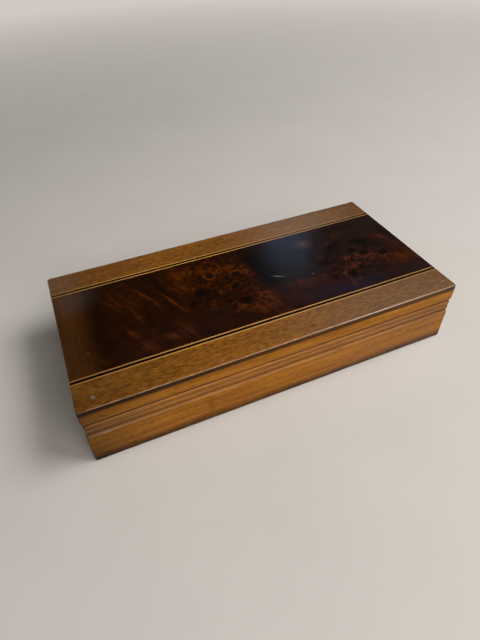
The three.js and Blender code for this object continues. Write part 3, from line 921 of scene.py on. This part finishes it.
def old_brass():
    """Cast and filed brass, rubbed bright in some patches and tarnished dull brown in others."""
    colours = palette()
    made, tree, shader, spot = new_material("aged_filed_brass")
    tarnish = add(
        tree, "TexNoise", {"Vector": spot, "Scale": 1 / (3.5 * MM), "Detail": 5, "Roughness": 0.65}
    ).outputs["Fac"]
    ramp = [(0.38, rgba(colours.brass_dull)), (0.6, rgba(colours.brass_bright))]
    tone = add(tree, "ValToRGB", {"Fac": tarnish}, ramp)
    gloss = add(
        tree,
        "MapRange",
        {"Value": tarnish, "From Min": 0.35, "From Max": 0.65, "To Min": 0.5, "To Max": 0.28},
    )
    filed = marks_along(tree, spot, "X", FILE_MARK)
    relief = add(tree, "Bump", {"Height": filed, "Distance": 0.01 * MM, "Strength": 0.4})
    dress(tree, shader, tone.outputs["Color"], gloss, relief)
    shader.inputs["Metallic"].default_value = 1
    return made


# Pieces

def softened(node, material, wear, rubbed=None, front=None, lean=None):
    """A merged copy of a node with its sharp edges rounded as handling rounds them.

    Faces whose lean upwards lies between two limits, as on a bead, may have a more rubbed
    finish, and faces that show in the front may have the finish of the piece that they run on from.
    """
    if node not in frame["nodes"]:
        raise RuntimeError(f"the packed model has no node named {node}")
    sizes = bpy.context.scene.woodbox_sizes
    source = frame["nodes"][node]
    mesh = source.data.copy()
    mesh.name = node + "_worn"
    mesh.materials.clear()
    for finish in (material, rubbed, front):
        if finish:
            mesh.materials.append(finish)
    shape = bmesh.new()
    shape.from_mesh(mesh)
    bmesh.ops.remove_doubles(shape, verts=shape.verts, dist=MERGE_DISTANCE)
    bmesh.ops.dissolve_limit(shape, angle_limit=FLAT_ANGLE, verts=shape.verts, edges=shape.edges)
    for face in shape.faces:
        face.smooth = True
        if rubbed and lean[0] < face.normal.z < lean[1]:
            face.material_index = 1
        elif front and face.normal.y < FORWARD_LIMIT:
            face.material_index = 2
    shape.to_mesh(mesh)
    shape.free()
    piece = bpy.data.objects.new(node + "_worn", mesh)
    bpy.context.scene.collection.objects.link(piece)
    rounding = piece.modifiers.new("wear", "BEVEL")
    rounding.limit_method = "ANGLE"
    rounding.angle_limit = sizes.smooth_angle
    rounding.width = wear
    rounding.segments = sizes.wear_steps
    rounding.use_clamp_overlap = False
    rounding.harden_normals = True
    mesh.set_sharp_from_angle(angle=sizes.smooth_angle)
    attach(piece, source["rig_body"])
    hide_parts(node)


def mahogany_piece(node, grain, shade_and_grime_shares, offset, run_on):
    """A mahogany board or rail whose beads and edges are rubbed brighter than its flats."""
    sizes = bpy.context.scene.woodbox_sizes
    marked = node == "front_board"
    flat, rubbed = (
        honey_mahogany(f"honey_mahogany_{look}_{node}", grain, shade_and_grime_shares, offset, finish, marked)
        for look, finish in (("polished", FLAT_POLISH), ("rubbed", RUBBED_POLISH))
    )
    front = bpy.data.materials["honey_mahogany_polished_" + run_on] if run_on else None
    softened(node, flat, sizes.joint_wear, rubbed, front, BEAD_LEAN)


class WOODBOX_OT_body_boards(bpy.types.Operator):
    """Four moulded mahogany boards of the body"""

    bl_idname = "woodbox.body_boards"
    bl_label = "Body boards"

    def execute(self, context):
        for node, grain, offset, run_on in (
            ("front_board", "X", (0, 0, 0), None),
            ("back_board", "X", (3.7, 1.3, 0), None),
            ("left_end_board", "Y", (0.4, 2.1, 0.7), "front_board"),
            ("right_end_board", "Y", (1.9, 5.2, 0.1), "front_board"),
        ):
            mahogany_piece(node, grain, BODY_SHADE_AND_GRIME_SHARES, offset, run_on)
        return {"FINISHED"}


class WOODBOX_OT_base(bpy.types.Operator):
    """Base panel let into the foot of the boards"""

    bl_idname = "woodbox.base"
    bl_label = "Base panel"

    def execute(self, context):
        softened("base_panel", planed_base(), context.scene.woodbox_sizes.joint_wear)
        return {"FINISHED"}


class WOODBOX_OT_body_lining(bpy.types.Operator):
    """Cedar floor and strips inside the body"""

    bl_idname = "woodbox.body_lining"
    bl_label = "Body lining"

    def execute(self, context):
        sizes = context.scene.woodbox_sizes
        for node, grain in (
            ("floor_lining", "X"),
            ("front_lining", "X"),
            ("back_lining", "X"),
            ("left_lining", "Y"),
            ("right_lining", "Y"),
        ):
            softened(node, planed_cedar(node, grain), sizes.edge_wear)
        return {"FINISHED"}


class WOODBOX_OT_lid_frame(bpy.types.Operator):
    """Four mahogany rails of the lid, its dark board and its lining"""

    bl_idname = "woodbox.lid_frame"
    bl_label = "Lid frame"

    def execute(self, context):
        sizes = context.scene.woodbox_sizes
        for node, grain, offset, run_on in (
            ("lid_front_rail", "X", (2.2, 0.6, 1.4), None),
            ("lid_back_rail", "X", (5.1, 2.2, 0.3), None),
            ("lid_left_rail", "Y", (1.1, 0.9, 2.5), "lid_front_rail"),
            ("lid_right_rail", "Y", (4.4, 3.2, 1.7), "lid_front_rail"),
        ):
            mahogany_piece(node, grain, LID_SHADE_AND_GRIME_SHARES, offset, run_on)
        softened("lid_top_board", stained_edge(), sizes.joint_wear)
        softened("lid_lining", planed_cedar("lid_lining", "X"), sizes.joint_wear)
        return {"FINISHED"}


class WOODBOX_OT_lid_veneers(bpy.types.Operator):
    """Bands, stringing and burr panel of the lid"""

    bl_idname = "woodbox.lid_veneers"
    bl_label = "Lid veneers"

    def execute(self, context):
        pale, black = boxwood_line(), dyed_line()
        for side, offset in (("front", (1, 2, 0)), ("back", (4, 1, 0))):
            flat = band_mahogany("band_mahogany_polished_" + side, offset, BAND_POLISH)
            rubbed = band_mahogany("band_mahogany_rubbed_" + side, offset, BAND_RUBBED_POLISH)
            softened(side + "_band_veneer", flat, FLUSH, rubbed, None, BAND_EDGE_LEAN)
        softened("burr_veneer", burr_walnut(), FLUSH)
        for side in ("front", "back"):
            for line, finish, slot in (
                ("outer", pale, "pale_string"),
                ("black", black, "black_string"),
                ("inner", pale, "pale_string"),
            ):
                softened(f"{side}_string_{line}_line", finish, FLUSH)
        return {"FINISHED"}


class WOODBOX_OT_hinges(bpy.types.Operator):
    """Leaves, pins and screws of both butt hinges"""

    bl_idname = "woodbox.hinges"
    bl_label = "Butt hinges"

    def execute(self, context):
        sizes = context.scene.woodbox_sizes
        brass = old_brass()
        found = [n for n in frame["nodes"] if "_hinge_" in n]
        if not found:
            raise RuntimeError("the packed model has no hinges")
        for node in sorted(found):
            softened(node, brass, sizes.metal_wear)
        return {"FINISHED"}


# Stage

def painted_floor():
    """Matt pale paint, faintly mottled, that fades into the backdrop away from the box."""
    colours = palette()
    made, tree, shader, spot = new_material("pale_painted_floor")
    mottle = add(tree, "TexNoise", {"Vector": spot, "Scale": 1 / (60 * MM), "Detail": 3})
    ramp = [(0.3, rgba(dimmed(colours.floor, share=0.96))), (0.7, rgba(colours.floor))]
    tone = add(tree, "ValToRGB", {"Fac": mottle.outputs["Fac"]}, ramp)
    tree.links.new(tone.outputs["Color"], shader.inputs["Base Color"])
    shader.inputs["Roughness"].default_value = 0.7
    away = add(tree, "VectorMath", {0: spot}, operation="LENGTH")
    far = add(
        tree, "MapRange", {"Value": away.outputs["Value"], "From Min": FADE_STARTS, "From Max": FADE_ENDS}
    )
    ray = add(tree, "LightPath")
    seen = {0: far.outputs["Result"], 1: ray.outputs["Is Camera Ray"]}
    fade = add(tree, "Math", seen, operation="MULTIPLY")
    pale = add(tree, "Emission", {"Color": rgba(colours.backdrop)})
    faded = add(
        tree, "MixShader", {0: fade.outputs[0], 1: shader.outputs["BSDF"], 2: pale.outputs["Emission"]}
    )
    surface = shader.outputs["BSDF"].links[0].to_socket
    tree.links.new(faded.outputs["Shader"], surface)
    return made


def lay_floor(scene):
    """A wide flat floor under the box."""
    shape = bmesh.new()
    bmesh.ops.create_grid(shape, x_segments=1, y_segments=1, size=FLOOR_REACH)
    mesh = bpy.data.meshes.new("floor")
    shape.to_mesh(mesh)
    shape.free()
    mesh.materials.append(painted_floor())
    floor = bpy.data.objects.new("floor", mesh)
    scene.collection.objects.link(floor)


def aim(place, target, roll=0.0):
    """A matrix that stands at a place and looks at a target."""
    look = (Vector(target) - Vector(place)).to_track_quat("-Z", "Y").to_matrix().to_4x4()
    return Matrix.Translation(place) @ look @ Matrix.Rotation(roll, 4, "Z")


def hang_lamps(scene):
    """Soft lamps that all face the box."""
    for name, bearing, height, distance, wide, tall, power, hex_colour in LAMPS:
        data = bpy.data.lights.new(name, "AREA")
        data.shape = "RECTANGLE"
        data.size = wide
        data.size_y = tall
        data.energy = power
        data.color = linear(hex_colour)
        lamp = bpy.data.objects.new(name, data)
        scene.collection.objects.link(lamp)
        turn, rise = math.radians(bearing), math.radians(height)
        place = Vector((
            math.sin(turn) * math.cos(rise),
            math.cos(turn) * math.cos(rise),
            math.sin(rise),
        )) * distance
        lamp.matrix_world = aim(place, (0, 0, 0))
        lamp.visible_camera = False


def light_room(scene):
    """A room that is pale at the height of the table and dark overhead, seen as the plain backdrop."""
    colours = scene.woodbox_colours
    world = bpy.data.worlds.new("soft_room")
    world.use_nodes = True
    scene.world = world
    tree = world.node_tree
    tree.nodes.clear()
    look = add(tree, "TexCoord")
    parts = add(tree, "SeparateXYZ", {"Vector": look.outputs["Generated"]})
    levels = ((0.0, colours.room_low), (0.14, colours.room_middle), (0.34, colours.room_high))
    ramp = [(level, rgba(tone)) for level, tone in levels]
    sky = add(tree, "ValToRGB", {"Fac": parts.outputs["Z"]}, ramp)
    room = add(tree, "Background", {"Color": sky.outputs["Color"], "Strength": ROOM_STRENGTH})
    seen = add(tree, "Background", {"Color": rgba(colours.backdrop)})
    ray = add(tree, "LightPath")
    back = add(
        tree,
        "MixShader",
        {0: ray.outputs["Is Camera Ray"], 1: room.outputs["Background"], 2: seen.outputs["Background"]},
    )
    add(tree, "OutputWorld", {"Surface": back.outputs["Shader"]})


def set_camera(scene):
    """The camera, where the box shows as in the photograph."""
    stage = scene.woodbox_stage
    view = bpy.data.cameras.new("camera")
    view.sensor_width = SENSOR
    view.lens = stage.camera_lens
    view.clip_start = NEAREST_SEEN
    camera = bpy.data.objects.new("camera", view)
    scene.collection.objects.link(camera)
    camera.matrix_world = aim(stage.camera_place, stage.camera_target, stage.camera_roll)
    scene.camera = camera


class WOODBOX_OT_stage(bpy.types.Operator):
    """Pale floor, soft light and camera"""

    bl_idname = "woodbox.stage"
    bl_label = "Stage"

    def execute(self, context):
        lay_floor(context.scene)
        hang_lamps(context.scene)
        light_room(context.scene)
        set_camera(context.scene)
        context.scene.view_settings.view_transform = "Standard"
        return {"FINISHED"}


OPERATORS = (
    WOODBOX_OT_body_boards,
    WOODBOX_OT_base,
    WOODBOX_OT_body_lining,
    WOODBOX_OT_lid_frame,
    WOODBOX_OT_lid_veneers,
    WOODBOX_OT_hinges,
    WOODBOX_OT_stage,
)

GROUPS = {
    "woodbox_sizes": WOODBOX_PG_sizes,
    "woodbox_colours": WOODBOX_PG_colours,
    "woodbox_stage": WOODBOX_PG_stage,
}


class WOODBOX_PT_panel(bpy.types.Panel):
    """Lists the pieces of the wooden box"""

    bl_idname = "WOODBOX_PT_panel"
    bl_label = "Wooden Box"
    bl_space_type = "VIEW_3D"
    bl_region_type = "UI"
    bl_category = "Wooden Box"

    def draw(self, context):
        for operator in OPERATORS:
            self.layout.operator(operator.bl_idname)
        for group in GROUPS:
            owner = getattr(context.scene, group)
            for name in owner.bl_rna.properties.keys():
                if name not in ("rna_type", "name"):
                    self.layout.prop(owner, name)


def register():
    for cls in (*GROUPS.values(), *OPERATORS, WOODBOX_PT_panel):
        bpy.utils.register_class(cls)
    for name, group in GROUPS.items():
        setattr(bpy.types.Scene, name, PointerProperty(type=group))


def unregister():
    for name in GROUPS:
        delattr(bpy.types.Scene, name)
    for cls in (WOODBOX_PT_panel, *OPERATORS, *GROUPS.values()):
        bpy.utils.unregister_class(cls)


def main():
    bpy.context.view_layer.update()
    register()
    for operator in OPERATORS:
        group, name = operator.bl_idname.split(".")
        getattr(getattr(bpy.ops, group), name)()


if __name__ == "__main__":
    main()
